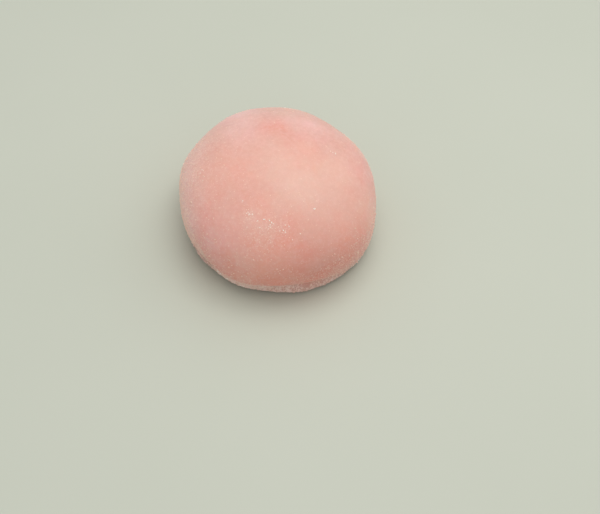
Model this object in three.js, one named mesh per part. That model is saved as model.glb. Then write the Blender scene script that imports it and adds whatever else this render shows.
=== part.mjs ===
// A mochi rice cake: one soft ball of pounded rice dough, patted by hand and settled on its own weight.
// Millimetres and degrees, +Z up. It rests on Z = 0, centred on the origin, with its front towards -Y.
import * as THREE from "three";
import { mergeVertices } from "three/addons/utils/BufferGeometryUtils.js";

// Driving sizes.
const GIRTH_RADIUS = 34; // widest radius, before any palm has flattened it
const GIRTH_HEIGHT = 13.5; // height of the widest ring above the table
const HEIGHT = 36.1; // top of the dome above the table
const UNDER_DEPTH = 19.9; // how far the underside would reach below the girth without a table
const DOME_FULLNESS = 2.25; // 2 is an ellipsoid, more is boxier
const UNDER_FULLNESS = 3.5;

// Soft flats left by the palms that rounded the ball. Each looks along an azimuth and an elevation, and
// lies at a share of the girth radius from the middle of the girth.
const PALM_FLATS = [
  { azimuth: 150, elevation: 20.5, share: 0.933 },
  { azimuth: 106, elevation: 36, share: 0.916 },
  { azimuth: 57, elevation: 21.7, share: 0.933 },
  { azimuth: 8.5, elevation: 15, share: 1.014 },
  { azimuth: -59.5, elevation: -35, share: 0.942 },
  { azimuth: -80, elevation: -38, share: 0.879 },
  { azimuth: -135.5, elevation: -32.5, share: 0.881 },
  { azimuth: -168.5, elevation: -8.5, share: 0.923 },
];
const FLAT_CRISPNESS = 14; // how sharply the flats and the ball meet

// The foot is the roll of dough that spreads on the table. It is thin all round and swells where the
// ball leans.
const FOOT_HEIGHT = 1.55; // the roll is full up to here
const FOOT_FADE = 2.1; // how fast it fades above that
const FOOT_REACH = 0.3; // how far it stands out everywhere
const FOOT_SWELLS = [
  { azimuth: -66, spread: 25, reach: 2.6 },
  { azimuth: -138, spread: 18, reach: 1.4 },
];
const BASE_ROUNDING = 1.4; // radius of the edge between the foot and the base

// Where the ball folds over its foot, a crease runs round part of it.
const CREASE_HEIGHT = 5.6;
const CREASE_WIDTH = 1.45;
const CREASES = [
  { azimuth: -79, spread: 27, depth: 0.8 },
  { azimuth: -148, spread: 12, depth: 1 },
  { azimuth: -158, spread: 24, depth: 0.8 },
];

// Slow waves of a surface made by hand: radians turned from the middle to a side, and their depth.
const HAND_WAVES = [
  { along: [0.8, 0.35, 0.5], turns: 4.2, phase: 0.6, depth: 0.13 },
  { along: [-0.4, 0.9, 0.2], turns: 5.6, phase: 2.1, depth: 0.11 },
  { along: [0.3, -0.5, 0.8], turns: 7.3, phase: 4.0, depth: 0.08 },
];

// The surface is a block of square cells wrapped round the dough: its top is the crown, its sides are
// the flank, and its bottom is the flat base.
const CELLS = 30; // per edge of the block
const SHOULDER_HEIGHT = 32.4; // where the crown meets the flank
const ROW_CROWDING = 1.7; // more puts more of the flank's rows near the foot

const DOUGH_COLOUR = 0xe8b4a6;
const DOUGH_ROUGHNESS = 0.8;

const { degToRad, radToDeg, smoothstep, euclideanModulo } = THREE.MathUtils;

// The unit vector that looks along an azimuth and an elevation.
function looking(azimuth, elevation) {
  const level = Math.cos(degToRad(elevation));
  return new THREE.Vector3(
    level * Math.cos(degToRad(azimuth)),
    level * Math.sin(degToRad(azimuth)),
    Math.sin(degToRad(elevation)),
  );
}

// The nearest of some surfaces, joined softly: each is given as one over its distance.
function softNearest(nearnesses, crispness) {
  const sum = nearnesses.reduce((total, value) => total + value ** crispness, 0);
  return sum ** (1 / crispness);
}

// The distance from the middle of the girth to the ball: a squat dome over a fuller underside, cut by
// the palm flats.
function ballReach(direction) {
  const upper = direction.z > 0;
  const fullness = upper ? DOME_FULLNESS : UNDER_FULLNESS;
  const rise = upper ? HEIGHT - GIRTH_HEIGHT : UNDER_DEPTH;
  const level = Math.hypot(direction.x, direction.y);
  const ball = softNearest([level / GIRTH_RADIUS, Math.abs(direction.z) / rise], fullness);
  const flats = PALM_FLATS.map(({ azimuth, elevation, share }) => {
    const facing = Math.max(direction.dot(looking(azimuth, elevation)), 0);
    return facing / (share * GIRTH_RADIUS);
  });
  return 1 / softNearest([ball, ...flats], FLAT_CRISPNESS);
}

// The depth of the hand's slow waves along a direction, fading out at the foot.
function handWave(direction) {
  let depth = 0;
  for (const wave of HAND_WAVES) {
    const across = direction.dot(new THREE.Vector3(...wave.along));
    depth += wave.depth * Math.sin(wave.turns * across + wave.phase);
  }
  return depth * smoothstep(direction.z, -0.35, 0.1);
}

// The point of the ball, without its foot, that is seen from the middle of the girth.
function ballPoint(azimuth, elevation) {
  const direction = looking(azimuth, elevation);
  const point = direction.clone().multiplyScalar(ballReach(direction) + handWave(direction));
  point.z += GIRTH_HEIGHT;
  return point;
}

// The elevation at which the ball passes a height, found by halving.
function elevationAt(azimuth, height) {
  let low = -80;
  let high = 80;
  while (high - low > 1e-7) {
    const middle = (low + high) / 2;
    if (ballPoint(azimuth, middle).z < height) low = middle;
    else high = middle;
  }
  return low;
}

// Degrees from one azimuth to another, between -180 and 180.
function turnBetween(from, to) {
  return euclideanModulo(to - from + 180, 360) - 180;
}

// How far the foot stands out at an azimuth.
function footReach(azimuth) {
  let reach = FOOT_REACH;
  for (const swell of FOOT_SWELLS) {
    const turn = turnBetween(swell.azimuth, azimuth);
    reach += swell.reach * Math.exp(-((turn / swell.spread) ** 2));
  }
  return reach;
}

// How deep the crease is at an azimuth. It keeps its depth along its span and ends quickly.
function creaseDepth(azimuth) {
  let depth = 0;
  for (const crease of CREASES) {
    const turn = turnBetween(crease.azimuth, azimuth);
    depth += crease.depth * Math.exp(-((turn / crease.spread) ** 4));
  }
  return depth;
}

// A point of the flank at a height, with the foot's roll added, the crease pressed in and the base's
// edge rounded off.
function flankPoint(azimuth, height) {
  const point = ballPoint(azimuth, elevationAt(azimuth, height));
  const aboveRoll = Math.max(height - FOOT_HEIGHT, 0);
  const roll = footReach(azimuth) * Math.exp(-((aboveRoll / FOOT_FADE) ** 2));
  const fromCrease = (height - CREASE_HEIGHT) / CREASE_WIDTH;
  const fold = creaseDepth(azimuth) * Math.exp(-(fromCrease ** 2));
  const below = Math.max(1 - height / BASE_ROUNDING, 0);
  const tuck = BASE_ROUNDING * (1 - Math.sqrt(1 - below ** 2));
  const outwards = looking(azimuth, 0).multiplyScalar(roll - fold - tuck);
  return point.add(outwards).setZ(height);
}

function crownPoint(azimuth, share) {
  const shoulder = elevationAt(azimuth, SHOULDER_HEIGHT);
  return ballPoint(azimuth, 90 - share * (90 - shoulder));
}

function basePoint(azimuth, share) {
  return flankPoint(azimuth, 0).multiplyScalar(share);
}

// Where a point of the block, from -1 to 1 along each axis, lies on the dough.
function wrapped({ x, y, z }) {
  const quarter = Math.PI / 4;
  const share = Math.max(Math.abs(x), Math.abs(y)); // 1 on the sides, 0 in the middle of a face
  const ring = share || 1;
  const azimuth = radToDeg(Math.atan2(Math.tan((y / ring) * quarter), Math.tan((x / ring) * quarter)));
  if (share > 1 - 1e-6) {
    return flankPoint(azimuth, SHOULDER_HEIGHT * ((1 + z) / 2) ** ROW_CROWDING);
  }
  return z > 0 ? crownPoint(azimuth, share) : basePoint(azimuth, share);
}

function doughGeometry() {
  const block = new THREE.BoxGeometry(2, 2, 2, CELLS, CELLS, CELLS);
  block.deleteAttribute("normal");
  block.deleteAttribute("uv");
  const geometry = mergeVertices(block, 1e-4);
  const position = geometry.getAttribute("position");
  const blockPoint = new THREE.Vector3();
  for (let i = 0; i < position.count; i += 1) {
    blockPoint.fromBufferAttribute(position, i);
    const point = wrapped(blockPoint);
    position.setXYZ(i, point.x, point.y, point.z);
  }
  geometry.computeBoundingBox();
  const middle = geometry.boundingBox.getCenter(new THREE.Vector3());
  geometry.translate(-middle.x, -middle.y, 0);
  geometry.computeVertexNormals();
  return geometry;
}

const dough = new THREE.MeshStandardMaterial({
  color: DOUGH_COLOUR,
  roughness: DOUGH_ROUGHNESS,
  metalness: 0,
});

const mochi = new THREE.Mesh(doughGeometry(), dough);
mochi.name = "mochi";

const part = new THREE.Group();
part.name = "mochi_rice_cake";
part.add(mochi);

export default part;
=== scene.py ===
"""A mochi rice cake: soft pink rice dough, dusted with starch, resting on a pale floor."""

import math
import random

import bmesh
import bpy
import numpy as np
from mathutils import Matrix, Vector, noise
from mathutils.bvhtree import BVHTree


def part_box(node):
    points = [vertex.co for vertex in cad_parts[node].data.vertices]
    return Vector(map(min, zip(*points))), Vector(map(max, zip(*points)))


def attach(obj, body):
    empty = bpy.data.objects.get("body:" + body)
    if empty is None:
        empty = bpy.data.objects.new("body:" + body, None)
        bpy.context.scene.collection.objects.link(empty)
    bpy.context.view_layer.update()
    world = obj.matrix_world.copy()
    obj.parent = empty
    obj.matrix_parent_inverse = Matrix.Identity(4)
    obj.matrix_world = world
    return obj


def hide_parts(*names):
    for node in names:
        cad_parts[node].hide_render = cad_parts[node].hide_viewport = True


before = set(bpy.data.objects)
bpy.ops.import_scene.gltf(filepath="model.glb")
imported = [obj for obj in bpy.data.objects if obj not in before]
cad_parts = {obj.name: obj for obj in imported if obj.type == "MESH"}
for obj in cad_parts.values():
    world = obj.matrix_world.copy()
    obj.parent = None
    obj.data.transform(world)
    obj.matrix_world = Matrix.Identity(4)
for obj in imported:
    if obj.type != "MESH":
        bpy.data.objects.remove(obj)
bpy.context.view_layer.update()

MM = 0.001
LOW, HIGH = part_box("mochi")
HEIGHT = HIGH.z - LOW.z
MIDDLE = Vector((0, 0, 0.4 * HEIGHT))

# A place on the dough is given by the azimuth and elevation, in degrees, at which it is seen from
# MIDDLE. Azimuth 0 is +X, and 90 is +Y.

# ---------------------------------------------------------------- helpers


def looking(azimuth, elevation):
    """The unit vector along an azimuth and an elevation."""
    a, e = math.radians(azimuth), math.radians(elevation)
    return Vector((math.cos(a) * math.cos(e), math.sin(a) * math.cos(e), math.sin(e)))


def new_object(name, mesh):
    made = bpy.data.objects.new(name, mesh)
    bpy.context.scene.collection.objects.link(made)
    return made


def smooth_step(low, high, x):
    """0 below low, 1 above high, and smooth between."""
    t = np.clip((x - low) / (high - low), 0, 1)
    return t * t * (3 - 2 * t)


# ---------------------------------------------------------------- the dough's shape

WELD = 0.002 * MM
PAIR_BEND = 50  # degrees, the most that two triangles paired into a quad may bend
REFINE_LEVELS = 2

# Slow and fast unevenness of the hand-worked surface: how large its lumps are, how far they stand
# out, and where in the noise they are taken from.
LUMPS = [
    (15 * MM, 0.16 * MM, Vector((3.1, 0.4, 7.7))),
    (6.5 * MM, 0.07 * MM, Vector((1.3, 9.2, 2.8))),
    (2.6 * MM, 0.028 * MM, Vector((5.9, 3.3, 0.6))),
    (1.2 * MM, 0.016 * MM, Vector((8.4, 6.1, 4.2))),
]

# The foot has a crust of the starch that it was set down in. The crust is rougher, and climbs
# higher in places: azimuth, spread, how much higher, and how much softer its upper edge is there.
CRUST_TOP = 3.2 * MM
CRUST_RISES = [
    (-92, 21, 5.2 * MM, 0.2 * MM),
    (-116, 9, 1.4 * MM, 0.5 * MM),
    (-55, 15, 2.8 * MM, 3.4 * MM),
    (15, 22, 1.3 * MM, 1.0 * MM),
    (78, 14, 2.2 * MM, 1.4 * MM),
    (128, 24, 1.2 * MM, 1.0 * MM),
]
CRUST_RISE_FLATNESS = 6  # more gives each rise a flatter top and quicker ends
CRUST_WANDER = [
    (8 * MM, 0.8 * MM, Vector((2.2, 5.5, 0))),
    (2.6 * MM, 0.6 * MM, Vector((7.7, 1.2, 0))),
]
CRUST_FEATHER = 1.1 * MM  # how softly its upper edge ends
CRUST_ROUGHNESS = [
    (2.4 * MM, 0.16 * MM, Vector((6.6, 1.9, 3.7))),
    (1.2 * MM, 0.12 * MM, Vector((0.2, 7.3, 5.1))),
]

BASE_EDGE = (0.2 * MM, 1.2 * MM)  # the relief starts at this height, and is full at that one

# Small dents: where, how far across, and how deep.
DENTS = [
    ((-46, 70), 1.7 * MM, 0.16 * MM),
    ((-39, 66), 2.6 * MM, 0.05 * MM),
    ((-116, 29), 3.4 * MM, 0.05 * MM),
    ((28, 40), 3.8 * MM, 0.06 * MM),
    ((160, 30), 3.0 * MM, 0.05 * MM),
]

# Faint stretch marks: from, to, how wide, and how deep.
STRETCHES = [
    ((-22, 72), (-36, 58), 1.1 * MM, 0.045 * MM),
    ((-55, 46), (-46, 37), 0.9 * MM, 0.05 * MM),
    ((-66, 55), (-62, 42), 1.3 * MM, 0.035 * MM),
    ((120, 52), (133, 40), 1.4 * MM, 0.04 * MM),
]
STRETCH_ENDS = 0.08  # share of its length at which a stretch mark stops fading

# A thin fold of skin lies along the lower left. Its front edge is part of a circle on the skin,
# with a crease before it, and it runs out behind and above.
LIP_AROUND = (-145, -4)
LIP_FACING = (-55, 8)
LIP_RADIUS = 10.3 * MM
LIP_RISE = 0.8  # share of the radius over which it comes in
LIP_WANDER = [(4 * MM, 0.7 * MM, Vector((5.2, 8.1, 1.4)))]
LIP_EDGE = 1.0 * MM
LIP_FADE = 4.5 * MM
LIP_TOP = (10.5 * MM, 19 * MM)  # it starts to run out at this height, and has gone at that one
LIP_HEIGHT = 0.12 * MM
LIP_CREASE = 0.1 * MM


def welded_copy(node, name):
    """A new piece from a CAD node's mesh, merged and with its triangles paired into quads."""
    shape = bmesh.new()
    shape.from_mesh(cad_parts[node].data)
    bmesh.ops.remove_doubles(shape, verts=shape.verts, dist=WELD)
    bmesh.ops.join_triangles(
        shape,
        faces=shape.faces,
        angle_face_threshold=math.radians(PAIR_BEND),
        angle_shape_threshold=math.pi,
    )
    mesh = bpy.data.meshes.new(name)
    shape.to_mesh(mesh)
    shape.free()
    return new_object(name, mesh)


def refine(piece, levels):
    """Subdivides a piece's own mesh smoothly."""
    finer = piece.modifiers.new("finer", "SUBSURF")
    finer.levels = finer.render_levels = levels
    bpy.context.view_layer.update()
    seen = piece.evaluated_get(bpy.context.evaluated_depsgraph_get())
    mesh = bpy.data.meshes.new_from_object(seen)
    piece.modifiers.clear()
    piece.data = mesh


def vertex_array(mesh, what):
    """The places ("co") or the normals ("normal") of a mesh's vertices, one row each."""
    found = np.empty(len(mesh.vertices) * 3)
    if what == "co":
        mesh.vertices.foreach_get("co", found)
    else:
        mesh.vertex_normals.foreach_get("vector", found)
    return found.reshape(-1, 3)


def wave(places, size, shift):
    """Smooth noise from about -1 to 1 at each place."""
    return np.array([noise.noise(Vector(p) / size + shift) for p in places])


def waves(places, several):
    """The sum of some waves, each given as a size, a depth and a shift."""
    return sum(depth * wave(places, size, shift) for size, depth, shift in several)


def surface_tree(mesh, places):
    """A mesh's surface, with its vertices at some places, ready for rays."""
    corners = [Vector(p) for p in places]
    return BVHTree.FromPolygons(corners, [tuple(face.vertices) for face in mesh.polygons])


def on_surface(where):
    """The point of the smooth dough at an azimuth and an elevation."""
    hit = smooth_tree.ray_cast(MIDDLE, looking(*where))
    return np.array(hit[0])


def spot(places, centre, across):
    """1 at the centre, fading to 0 over about half the size across."""
    distance = np.linalg.norm(places - centre, axis=1)
    return np.exp(-((distance / (0.5 * across)) ** 2))


def stroke(places, start, end, width):
    """1 along the middle of a line from start to end, fading out sideways and at both ends."""
    along = end - start
    share = np.clip((places - start) @ along / (along @ along), 0, 1)
    distance = np.linalg.norm(places - (start + share[:, None] * along), axis=1)
    sideways = np.exp(-((distance / (0.5 * width)) ** 2))
    return sideways * np.sin(math.pi * np.clip(share, STRETCH_ENDS, 1 - STRETCH_ENDS))


def fold_of_skin(places):
    """The fold at the lower left, and the crease before it, each from 0 to 1."""
    apart = places - on_surface(LIP_AROUND)
    inside = LIP_RADIUS - np.linalg.norm(apart, axis=1) + waves(places, LIP_WANDER)
    here = smooth_step(0, LIP_RISE * LIP_RADIUS, apart @ looking(*LIP_FACING))
    below = 1 - smooth_step(*LIP_TOP, places[:, 2])
    crease = here * np.exp(-(((inside + LIP_EDGE) / LIP_EDGE) ** 2))
    lip = here * smooth_step(0, LIP_EDGE, inside) * np.exp(-((inside / LIP_FADE) ** 2))
    return below * lip, below * crease


skin = welded_copy("mochi", "dough")
refine(skin, REFINE_LEVELS)
places = vertex_array(skin.data, "co")
outwards = vertex_array(skin.data, "normal")
smooth_tree = surface_tree(skin.data, places)
azimuths = np.degrees(np.arctan2(places[:, 1], places[:, 0]))
crust_top = CRUST_TOP + waves(places * [1, 1, 0], CRUST_WANDER)
crust_feather = np.full(len(places), CRUST_FEATHER)
for azimuth, spread, rise, softer in CRUST_RISES:
    turned = (azimuths - azimuth + 180) % 360 - 180
    here = np.exp(-((turned / spread) ** CRUST_RISE_FLATNESS))
    crust_top += rise * here
    crust_feather += softer * here
crust = 1 - smooth_step(-crust_feather, 0, places[:, 2] - crust_top)

lip, lip_crease = fold_of_skin(places)
relief = LIP_HEIGHT * lip - LIP_CREASE * lip_crease + waves(places, LUMPS)
relief += crust * waves(places, CRUST_ROUGHNESS)
for where, across, depth in DENTS:
    relief -= depth * spot(places, on_surface(where), across)
marks = np.zeros(len(places))
for start, end, width, depth in STRETCHES:
    mark = stroke(places, on_surface(start), on_surface(end), width)
    relief -= depth * mark
    marks += mark
relief *= smooth_step(*BASE_EDGE, places[:, 2])
places = places + outwards * relief[:, None]
places[:, 2] = np.maximum(places[:, 2], 0)
skin.data.vertices.foreach_set("co", places.ravel())
skin.data.update()
skin.data.shade_smooth()

# ---------------------------------------------------------------- where colour and starch lie

# Flushes are redder, barer dough; the strongest, low on the front and sides, are painted shade as
# well, the darker, redder shade of the lower flank. Creams are paler and warmer. Blooms are paler
# and cooler, under a thin haze of starch; those on the left are also partly painted cool light.
# Each: where, how far across, how strong.
FLUSHES_AND_SHADE = [
    ((112, 63), 11 * MM, 0.43),
    ((21, 71), 16 * MM, 0.37),
    ((2, 19), 27 * MM, 0.43),
    ((-102, 41), 8 * MM, 0.51),
    ((-151, 42), 30 * MM, 0.43),
    ((-75, 20), 10 * MM, 0.45),
    # These four, low on the front and sides, are painted shade as well as flush.
    ((-93, 6), 25 * MM, 0.99),
    ((-65, -20), 27 * MM, 0.98),
    ((-120, 3), 30 * MM, 0.99),
    ((-36, 5), 28 * MM, 0.80),
    ((-74, 35), 9 * MM, 0.55),
    ((55, 2), 30 * MM, 0.32),
    ((10, -6), 26 * MM, 0.34),
    ((95, -4), 32 * MM, 0.36),
    ((128, 14), 18 * MM, 0.20),
    ((132, -6), 28 * MM, 0.34),
    ((168, -8), 30 * MM, 0.38),
]
CREAMS = [
    ((-170, 13), 18 * MM, 0.38),
    ((-153, 3), 14 * MM, 0.3),
    ((-152, 43), 27 * MM, 0.41),
    ((-57, 54), 22 * MM, 0.52),
    ((-8, 44), 15 * MM, 0.44),
    ((-101, 84), 17 * MM, 0.34),
    ((-102, 33), 10 * MM, 0.30),
    ((-97, 13), 30 * MM, 0.56),
    ((-39, 21), 21 * MM, 0.36),
    ((21, 69), 7 * MM, 0.30),
    ((-16, 10), 16 * MM, 0.62),
    ((85, 25), 20 * MM, 0.45),
    ((35, 18), 16 * MM, 0.50),
    ((160, 20), 18 * MM, 0.40),
]
BLOOMS_AND_COOL_LIGHT = [
    ((146, 51), 15 * MM, 0.45),
    ((130, 28), 14 * MM, 0.90),
    ((96, 54), 7 * MM, 0.25),
    ((63, 54), 13 * MM, 0.48),
    ((43, 45), 10 * MM, 0.19),
    # These three, on the left, are partly painted cool light on that side.
    ((-174, 11), 22 * MM, 0.45),
    ((-150, 5), 17 * MM, 0.72),
    ((-124, 11), 22 * MM, 0.50),
    ((8, 23), 18 * MM, 0.34),
    ((108, 16), 14 * MM, 0.50),
    ((145, 5), 14 * MM, 0.40),
    ((75, 5), 13 * MM, 0.40),
    ((20, 5), 14 * MM, 0.35),
]
BLOTCH_WANDER = 1.6 * MM  # how far a blotch's edge strays
BLOTCH_WANDER_SIZE = 7 * MM
BLOTCH_SEED = 1795524618  # without one, vector noise would take its seed from the clock
FLUSH_AND_SHADE_FOOT = (1 * MM, 9 * MM)  # flushes, with their painted shade, start at this height, and are full at that one

# Dust of starch, thickest where the piece touched its tray, with a painted highlight on the front
# slope: where, how far across, how strong.
DUST_AND_HIGHLIGHT = [
    ((-98, 8), 24 * MM, 0.12),
    # These seven, on the front slope, are partly a painted highlight: the pale glow around glints
    # of light, over some real dust.
    ((-100, 30), 16 * MM, 0.3),
    ((-84, 32), 12 * MM, 0.25),
    ((-108, 35), 3 * MM, 0.6),
    ((-91, 32), 4 * MM, 0.5),
    ((-80, 32), 3 * MM, 0.4),
    ((-82, 29), 3 * MM, 0.4),
    ((-97, 23), 9 * MM, 0.25),
    ((-167, 8), 27 * MM, 0.78),
    ((-148, 2), 22 * MM, 0.8),
    ((176, 18), 23 * MM, 0.48),
    ((-136, -10), 13 * MM, 0.55),
    ((-117, -19), 12 * MM, 0.9),
    ((-100, -11), 9 * MM, 0.5),
    ((-52, -8), 16 * MM, 0.36),
    ((-38, -11), 18 * MM, 0.5),
    ((-22, -4), 18 * MM, 0.45),
    ((-66, -7), 12 * MM, 0.36),
    ((30, 4), 26 * MM, 0.45),
    ((80, 4), 26 * MM, 0.5),
    ((130, 6), 26 * MM, 0.45),
]
MARK_DUST = 0.45  # how much dust the stretch marks hold
LIP_BARES = 0.7  # how much of a flush, and of its painted shade, the fold of skin hides

# How a layer comes and goes over the skin: its middle strength, how much it changes, over what
# size, and where in the noise it is taken from.
FLUSH_AND_SHADE_UNEVEN = (1, 0.35, 7 * MM, Vector((4.4, 0.2, 6.6)))
BLOOM_AND_COOL_LIGHT_UNEVEN = (1, 0.35, 5 * MM, Vector((7.1, 2.5, 3.3)))
DUST_AND_HIGHLIGHT_UNEVEN = (0.85, 0.3, 3.2 * MM, Vector((0.9, 8.8, 1.7)))
CAKED_UNEVEN = (0.9, 0.3, 2.4 * MM, Vector((3.5, 6.2, 9.1)))

noise.seed_set(BLOTCH_SEED)
straying = np.array([noise.noise_vector(Vector(p) / BLOTCH_WANDER_SIZE) for p in places])
strayed = places + BLOTCH_WANDER * straying


def painted(patches):
    """The strength of some patches at every vertex."""
    left = np.ones(len(places))
    for where, across, strength in patches:
        left *= 1 - strength * spot(strayed, on_surface(where), across)
    return 1 - left


def uneven(middle, change, size, shift):
    """A strength at every vertex that wanders about its middle."""
    return middle + change * wave(places, size, shift)


flush_and_shade = painted(FLUSHES_AND_SHADE) * uneven(*FLUSH_AND_SHADE_UNEVEN)
flush_and_shade *= smooth_step(*FLUSH_AND_SHADE_FOOT, places[:, 2]) * (1 - LIP_BARES * lip)
cream = painted(CREAMS)
bloom_and_cool_light = painted(BLOOMS_AND_COOL_LIGHT) * uneven(*BLOOM_AND_COOL_LIGHT_UNEVEN)
dust_and_highlight = painted(DUST_AND_HIGHLIGHT) * uneven(*DUST_AND_HIGHLIGHT_UNEVEN)
dust_and_highlight = np.maximum(dust_and_highlight, MARK_DUST * marks)
caked = crust * uneven(*CAKED_UNEVEN)

# The dough's material reads these, one number per vertex.
layers = {
    "flush_and_shade": flush_and_shade,
    "cream": cream,
    "bloom_and_cool_light": bloom_and_cool_light,
    "dust_and_highlight": dust_and_highlight,
    "caked": caked,
    "lip": lip,
}
for name, values in layers.items():
    attribute = skin.data.attributes.new(name, "FLOAT", "POINT")
    attribute.data.foreach_set("value", np.clip(values, 0, 1).astype(np.float32))

# ---------------------------------------------------------------- starch grains

# Each kind: how many, smallest and largest radius, how strongly small ones outnumber large ones,
# how flat they lie (1 is round), how thickly they lie (on clean dough, on dusted dough, on its
# steep sides, where the dust is deepest, and on the crust), and a seed.
# The painted highlight on the front slope counts as dusted dough here, so grains gather there too.
GRAIN_KINDS = {
    "starch_grains": (8200, 0.05 * MM, 0.16 * MM, 1.6, (0.35, 0.7), (0.02, 0.42, 0.4, 0, 0.3), 11),
    "starch_clumps": (2200, 0.1 * MM, 0.24 * MM, 1.8, (0.7, 1.0), (0, 0.03, 0.5, 0.2, 0.1), 23),
    "starch_drifts": (3400, 0.06 * MM, 0.15 * MM, 1.4, (0.5, 0.9), (0, 0, 0, 1, 0), 67),
    "crust_crumbs": (6500, 0.07 * MM, 0.22 * MM, 1.9, (0.6, 1.0), (0, 0, 0, 0, 1), 37),
    "crust_lumps": (2400, 0.16 * MM, 0.44 * MM, 2.2, (0.5, 0.9), (0, 0, 0, 0, 1), 53),
}
GRAINS_PER_BATCH = 100
GRAIN_SUNK = 0.3  # share of its radius
GRAIN_LENGTH = (0.9, 1.5)  # times its width
GRAINS_ABOVE = 0.1 * MM  # so that none lie under the base
STEEP = (0.3, 0.85)  # skin starts to count as steep, and fully does; 0 is level, 1 is upright

# Short runs of brighter crumbs: from, to, how many. Their near-white colour is a painted glint;
# their low roughness adds some real glint.
CRUMB_RUNS = [
    ((-110.4, 35.4), (-106.5, 35.1), 9),
    ((-112.5, 36.5), (-112, 36), 1),
    ((-98, 35), (-96.5, 34.5), 2),
    ((-93, 35), (-89, 33), 4),
    ((-89.5, 32.5), (-95, 30), 6),
    ((-82, 33), (-78, 32.5), 4),
    ((-84, 29), (-80, 29), 4),
    ((-101.5, 33), (-101, 33), 2),
    ((-99, 30), (-98.5, 29.5), 1),
    ((-72, 27), (-71.5, 27), 1),
    ((-77, 25), (-76, 24.5), 1),
    ((-117, 40), (-116.5, 40.5), 2),
    ((-57, 38.8), (-55.8, 38.4), 3),
    ((15.5, 52.5), (10.5, 46.5), 4),
    ((88, 30), (94, 28), 5),
    ((138, 26), (141, 24), 3),
    ((-165, 33), (-161, 31), 4),
]

# Short runs of crust that has come loose at the foot.
FLAKE_RUNS = [
    ((-122, -19.5), (-118, -19), 9),
    ((-117, -19), (-109, -19), 14),
    ((-108, -20.5), (-101, -21), 9),
    ((-34, -20), (-27, -20), 5),
    ((40, -21), (52, -20), 9),
    ((103, -21), (112, -20.5), 8),
    ((158, -21), (166, -21), 7),
]

# What lies in runs: the runs, smallest and largest radius, how strongly small ones outnumber large
# ones, and how flat they lie.
RUN_KINDS = {
    "bright_crumbs": (CRUMB_RUNS, 0.09 * MM, 0.18 * MM, 1.0, (0.5, 0.8)),
    "crust_flakes": (FLAKE_RUNS, 0.16 * MM, 0.42 * MM, 1.3, (0.4, 0.7)),
}
RUN_SEED = 41
RUN_STEP = (0.2, 0.8)  # where a crumb may lie in its own share of the run
RUN_STRAY = 0.5  # degrees off the run


def skin_spots(count, thickness, rng):
    """Random places on the dough and their normals, more of them where the starch is thick."""
    mesh = skin.data
    mesh.calc_loop_triangles()
    corners = np.array([t.vertices for t in mesh.loop_triangles])
    a, b, c = (places[corners[:, i]] for i in range(3))
    area = 0.5 * np.linalg.norm(np.cross(b - a, c - a), axis=1)
    weight = area * thickness[corners].mean(axis=1)
    weight[(places[corners][:, :, 2] < GRAINS_ABOVE).any(axis=1)] = 0
    total = np.cumsum(weight)
    normals = vertex_array(mesh, "normal")
    for _ in range(count):
        i = int(np.searchsorted(total, rng.random() * total[-1]))
        u, v = sorted((rng.random(), rng.random()))
        at = a[i] * u + b[i] * (v - u) + c[i] * (1 - v)
        normal = normals[corners[i]].sum(axis=0)
        yield Vector(at), Vector(normal).normalized()


def run_spots(runs, rng):
    """Places along some runs and their normals."""
    for start, end, count in runs:
        for i in range(count):
            share = (i + rng.uniform(*RUN_STEP)) / count
            azimuth, elevation = (a + (b - a) * share for a, b in zip(start, end))
            azimuth += rng.gauss(0, RUN_STRAY)
            elevation += rng.gauss(0, RUN_STRAY)
            at, normal, _, _ = skin_tree.ray_cast(MIDDLE, looking(azimuth, elevation))
            yield at, normal


def make_grains(name, spots, small, large, skew, flatness, rng):
    """Small lumps of starch stuck to the dough."""
    whole = bmesh.new()
    batch_mesh = bpy.data.meshes.new("batch")
    for first in range(0, len(spots), GRAINS_PER_BATCH):
        batch = bmesh.new()
        for at, normal in spots[first : first + GRAINS_PER_BATCH]:
            radius = small + (large - small) * rng.random() ** skew
            flat = rng.uniform(*flatness)
            size = Matrix.Diagonal((rng.uniform(*GRAIN_LENGTH), 1, flat))
            spin = Matrix.Rotation(rng.uniform(0, math.tau), 3, "Z")
            turn = normal.to_track_quat("Z", "Y").to_matrix() @ spin
            middle = at + normal * radius * (flat - GRAIN_SUNK) * 0.5
            middle.z = max(middle.z, radius)
            place = Matrix.Translation(middle) @ (turn @ size).to_4x4()
            bmesh.ops.create_icosphere(batch, subdivisions=1, radius=radius, matrix=place)
        batch.to_mesh(batch_mesh)
        batch.free()
        whole.from_mesh(batch_mesh)
    mesh = bpy.data.meshes.new(name)
    whole.to_mesh(mesh)
    whole.free()
    bpy.data.meshes.remove(batch_mesh)
    return new_object(name, mesh)


starch = {}
steep = smooth_step(*STEEP, 1 - outwards[:, 2])
grounds = np.array([np.ones(len(places)), dust_and_highlight, dust_and_highlight * steep, dust_and_highlight**3, caked * crust])
for name, (count, small, large, skew, flatness, thicknesses, seed) in GRAIN_KINDS.items():
    rng = random.Random(seed)
    spots = list(skin_spots(count, thicknesses @ grounds, rng))
    starch[name] = make_grains(name, spots, small, large, skew, flatness, rng)

skin_tree = surface_tree(skin.data, places)
rng = random.Random(RUN_SEED)
for name, (runs, small, large, skew, flatness) in RUN_KINDS.items():
    spots = list(run_spots(runs, rng))
    starch[name] = make_grains(name, spots, small, large, skew, flatness, rng)

# ---------------------------------------------------------------- materials


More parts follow.
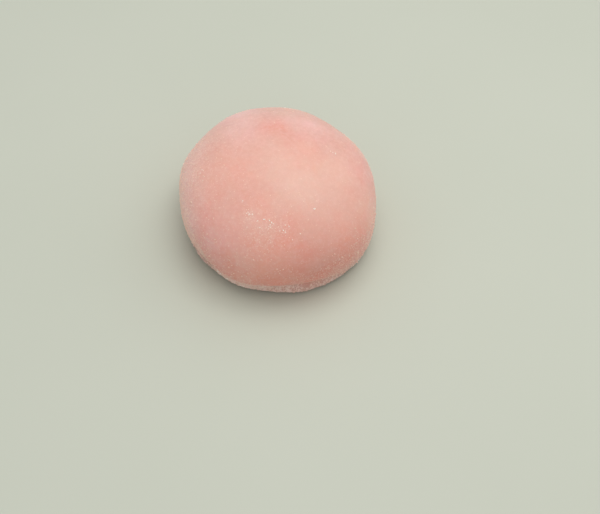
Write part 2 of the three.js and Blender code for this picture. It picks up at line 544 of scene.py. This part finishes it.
class Flow:
    """A value, colour or vector on its way through a material. Sums with it add Math nodes."""

    def __init__(self, recipe, socket):
        self.recipe = recipe
        self.socket = socket

    def maths(self, operation, *others, swapped=False):
        operands = [self, *others][:: -1 if swapped else 1]
        return self.recipe.node("Math", {"operation": operation}, dict(enumerate(operands)))

    def __add__(self, other):
        return self.maths("ADD", other)

    def __sub__(self, other):
        return self.maths("SUBTRACT", other)

    def __mul__(self, other):
        return self.maths("MULTIPLY", other)

    def __rsub__(self, other):
        return self.maths("SUBTRACT", other, swapped=True)

    __radd__ = __add__
    __rmul__ = __mul__

    def clamped(self):
        return self.recipe.node("Clamp", {}, {"Value": self})

    def stepped(self, low, high):
        """0 below low, 1 above high, and smooth between."""
        settings = {"interpolation_type": "SMOOTHSTEP"}
        inputs = {"Value": self, "From Min": low, "From Max": high}
        return self.recipe.node("MapRange", settings, inputs)


class Recipe:
    """A material while its nodes are added."""

    def __init__(self, name):
        self.material = bpy.data.materials.new(name)
        self.material.use_nodes = True
        self.tree = self.material.node_tree
        self.tree.nodes.clear()

    def node(self, kind, settings, inputs, output=0):
        """Adds a node, sets it, then fills its inputs with values or flows. Returns one output."""
        made = self.tree.nodes.new("ShaderNode" + kind)
        for setting, value in settings.items():
            setattr(made, setting, value)
        for socket, value in inputs.items():
            if isinstance(value, Flow):
                self.tree.links.new(value.socket, made.inputs[socket])
            else:
                made.inputs[socket].default_value = value
        return None if output is None else Flow(self, made.outputs[output])

    def blend(self, factor, first, second):
        """A colour between two others."""
        return self.node("Mix", {"data_type": "RGBA"}, {0: factor, 6: first, 7: second}, 2)

    def place(self):
        return self.node("TexCoord", {}, {}, "Object")

    def height(self):
        """The height above the table."""
        return self.node("SeparateXYZ", {}, {"Vector": self.place()}, "Z")

    def painted(self, name):
        """One of the layers kept on the skin."""
        return self.node("Attribute", {"attribute_name": name}, {}, "Fac")

    def speckle(self, size, detail=2.0, roughness=0.5, shift=(0, 0, 0)):
        """Noise from 0 to 1 with lumps of about a size in metres."""
        moved = self.node("Mapping", {}, {"Vector": self.place(), "Location": shift})
        inputs = {"Vector": moved, "Scale": 1 / size, "Detail": detail, "Roughness": roughness}
        return self.node("TexNoise", {}, inputs, "Fac")

    def shader(self, inputs):
        return self.node("BsdfPrincipled", {}, inputs)

    def finish(self, shader):
        self.node("OutputMaterial", {}, {"Surface": shader}, None)
        return self.material


def colour(red, green, blue):
    """A colour given as it looks on a screen, from 0 to 255."""

    def linear(value):
        share = value / 255
        return share / 12.92 if share <= 0.04045 else ((share + 0.055) / 1.055) ** 2.4

    return (linear(red), linear(green), linear(blue), 1)


DOUGH = colour(215, 171, 158)
DOUGH_FLUSHED_AND_SHADED = colour(233, 123, 104)
# Flushed dough, also the colour of the painted shade low on the front.
DOUGH_CREAM = colour(242, 199, 181)
DOUGH_LIP = colour(232, 194, 176)
# Bloomed dough, also the colour of the painted cool light on the left.
DOUGH_BLOOM_AND_COOL_LIGHT = colour(243, 196, 191)
STARCH_FILM = colour(236, 196, 182)
STARCH_CAKED = colour(211, 164, 149)
# Loose starch near the table, darker: painted shade.
STARCH_SHADE = colour(214, 176, 162)
STARCH = colour(250, 224, 208)
FLOOR_DULL = colour(193, 198, 183)
FLOOR_BRIGHT = colour(199, 203, 189)

STARCH_SHADE_TOP = (0.4 * MM, 3.2 * MM)  # painted shade on loose starch is full up to this height, and gone from that one

# Finishes of loose starch: the pieces that have it, how rough it is, and its two colours.
STARCH_FINISHES = {
    "starch_grain": (
        ("starch_grains", "starch_clumps", "starch_drifts"),
        0.55,
        colour(250, 220, 203),
        colour(244, 202, 184),
    ),
    # Near-white: a painted glint on the bright crumbs, and the own colour of the loose crust
    # flakes.
    "bright_crumb": (
        ("bright_crumbs", "crust_flakes"),
        0.22,
        colour(255, 250, 242),
        colour(255, 244, 232),
    ),
    "crust_crumb": (
        ("crust_crumbs", "crust_lumps"),
        0.5,
        colour(252, 228, 216),
        colour(238, 198, 184),
    ),
}


def dough_material():
    """Translucent dough, under a thin film of starch that thickens into specks and a caked foot."""
    recipe = Recipe("dusted_rice_dough")
    flushed_and_shaded, creamy, bloomed_and_cool_lit = (recipe.painted(name) for name in ("flush_and_shade", "cream", "bloom_and_cool_light"))
    dusted_and_highlighted, caked, lip = (recipe.painted(name) for name in ("dust_and_highlight", "caked", "lip"))
    slow = recipe.speckle(4.5 * MM, 3.0)
    mottle = recipe.speckle(1.3 * MM, 2.0, shift=(0.3, 0.1, 0.7))
    powder = recipe.speckle(0.5 * MM, 3.0, 0.65, shift=(0.5, 0.9, 0.2))
    fine = recipe.speckle(0.24 * MM, 2.0, 0.6, shift=(0.8, 0.4, 0.1))

    # The dough itself, in patches with ragged edges. The flushes bring painted shade low on the
    # front, and the blooms painted cool light on the left.
    body = recipe.blend((flushed_and_shaded + (slow - 0.5) * 0.3).clamped(), DOUGH, DOUGH_FLUSHED_AND_SHADED)
    body = recipe.blend((creamy + (slow - 0.5) * -0.2).clamped(), body, DOUGH_CREAM)
    body = recipe.blend((bloomed_and_cool_lit + (mottle - 0.5) * 0.5).clamped(), body, DOUGH_BLOOM_AND_COOL_LIGHT)
    body = recipe.blend(lip * 0.68, body, DOUGH_LIP)

    # What lies over it: a film in flakes, the cake at the foot, and clean starch in specks.
    specks = (powder - 0.5 + dusted_and_highlighted * 0.12).stepped(0.06, 0.26)
    flakes = (mottle * 0.6 + powder * 0.4 - 0.5 + dusted_and_highlighted * 0.08).stepped(0.0, 0.14)
    # The film pales where the dust lies, so on the front slope it also paints the highlight.
    film = recipe.blend((0.15 + dusted_and_highlighted * (0.1 + 0.6 * flakes)).clamped(), body, STARCH_FILM)
    film = recipe.blend((caked * (0.1 + mottle)).clamped(), film, STARCH_CAKED)
    patchy = ((powder - 0.5) * 0.75 + (mottle - 0.5) * 0.45) * (1 + dusted_and_highlighted * 0.5)
    film = recipe.blend((0.08 + specks * 0.2 + patchy).clamped(), film, STARCH)
    cover = (0.35 + dusted_and_highlighted * 0.3 + caked * 0.5 + specks * 0.4).clamped()

    height = powder * 0.65 + fine * 0.35
    bumped = recipe.node("Bump", {}, {"Strength": 0.8, "Distance": 0.12 * MM, "Height": height})
    dough = recipe.shader(
        {
            "Base Color": body,
            "Roughness": 0.6,
            "IOR": 1.45,
            "Specular IOR Level": 0.4,
            "Subsurface Weight": 0.7,
            "Subsurface Radius": (1.0, 0.42, 0.26),
            "Subsurface Scale": 2.5 * MM,
            "Normal": bumped,
        }
    )
    dusting = recipe.shader(
        {
            "Base Color": film,
            "Roughness": 0.85,
            "Specular IOR Level": 0.3,
            "Sheen Weight": 0.45,
            "Sheen Roughness": 0.45,
            "Sheen Tint": (1.0, 0.95, 0.92, 1),
            "Normal": bumped,
        }
    )
    return recipe.finish(recipe.node("MixShader", {}, {0: cover, 1: dough, 2: dusting}))


def starch_material(name, roughness, bright, dull):
    """Loose starch, darkened towards the foot by painted shade near the table."""
    recipe = Recipe(name)
    tint = recipe.speckle(0.8 * MM, 1.0)
    shaded = 1 - recipe.height().stepped(*STARCH_SHADE_TOP)
    body = recipe.blend(shaded, recipe.blend(tint, bright, dull), STARCH_SHADE)
    return recipe.finish(
        recipe.shader(
            {
                "Base Color": body,
                "Roughness": roughness + 0.25 * tint,
                "Subsurface Weight": 0.2,
                "Subsurface Radius": (1.0, 0.8, 0.7),
                "Subsurface Scale": 0.3 * MM,
            }
        )
    )


def floor_material():
    recipe = Recipe("pale_floor")
    cloud = recipe.speckle(90 * MM, 3.0)
    body = recipe.blend(cloud, FLOOR_DULL, FLOOR_BRIGHT)
    return recipe.finish(recipe.shader({"Base Color": body, "Roughness": 0.55 + 0.1 * cloud}))


skin.data.materials.append(dough_material())
for name, (pieces, roughness, bright, dull) in STARCH_FINISHES.items():
    finish = starch_material(name, roughness, bright, dull)
    for piece in pieces:
        starch[piece].data.materials.append(finish)

for piece in (skin, *starch.values()):
    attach(piece, "root")
    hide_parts("mochi")

# ---------------------------------------------------------------- floor, light and camera

FLOOR_RADIUS = 1500 * MM
FLOOR_SIDES = 64

ROOM_TINT = (0.97, 0.98, 1.0, 1)
ROOM_STRENGTH = 0.6
LAMP_TINT = (1.0, 0.97, 0.93)
LAMP_SIZE = 450 * MM
LAMP_DISTANCE = 600 * MM

# Lamps: where they hang, and their power in watts.
LAMPS = {"ceiling": ((60, 86), 1.72), "side": ((40, 45), 0.47)}

CAMERA_AZIMUTH = -90
CAMERA_ELEVATION = 54.1
CAMERA_ROLL = 6.6
CAMERA_DISTANCE = 334.9 * MM
CAMERA_TARGET = Vector((9.28, -23.76, 13.95)) * MM
CAMERA_LENS = 63.9
CAMERA_CLIP = 10 * MM


def make_floor():
    disc = bmesh.new()
    bmesh.ops.create_circle(disc, cap_ends=True, segments=FLOOR_SIDES, radius=FLOOR_RADIUS)
    mesh = bpy.data.meshes.new("floor")
    disc.to_mesh(mesh)
    disc.free()
    floor = new_object("floor", mesh)
    mesh.materials.append(floor_material())


def make_room():
    world = bpy.data.worlds.new("room")
    bpy.context.scene.world = world
    world.use_nodes = True
    background = world.node_tree.nodes["Background"]
    background.inputs["Color"].default_value = ROOM_TINT
    background.inputs["Strength"].default_value = ROOM_STRENGTH


def make_lamp(name, where, power):
    """A wide square lamp that looks at the dough."""
    lamp = bpy.data.lights.new(name, "AREA")
    lamp.size = LAMP_SIZE
    lamp.energy = power
    lamp.color = LAMP_TINT
    made = new_object(name, lamp)
    direction = looking(*where)
    made.location = MIDDLE + direction * LAMP_DISTANCE
    made.rotation_euler = direction.to_track_quat("Z", "Y").to_euler()


def make_camera():
    camera = new_object("camera", bpy.data.cameras.new("camera"))
    camera.data.lens = CAMERA_LENS
    camera.data.clip_start = CAMERA_CLIP
    back = looking(CAMERA_AZIMUTH, CAMERA_ELEVATION)
    level = back.to_track_quat("Z", "Y").to_matrix()
    turned = level @ Matrix.Rotation(math.radians(CAMERA_ROLL), 3, "Z")
    position = Matrix.Translation(CAMERA_TARGET + back * CAMERA_DISTANCE)
    camera.matrix_world = position @ turned.to_4x4()
    bpy.context.scene.camera = camera


make_floor()
make_room()
for name, (where, power) in LAMPS.items():
    make_lamp(name, where, power)
make_camera()
bpy.context.scene.view_settings.view_transform = "Standard"
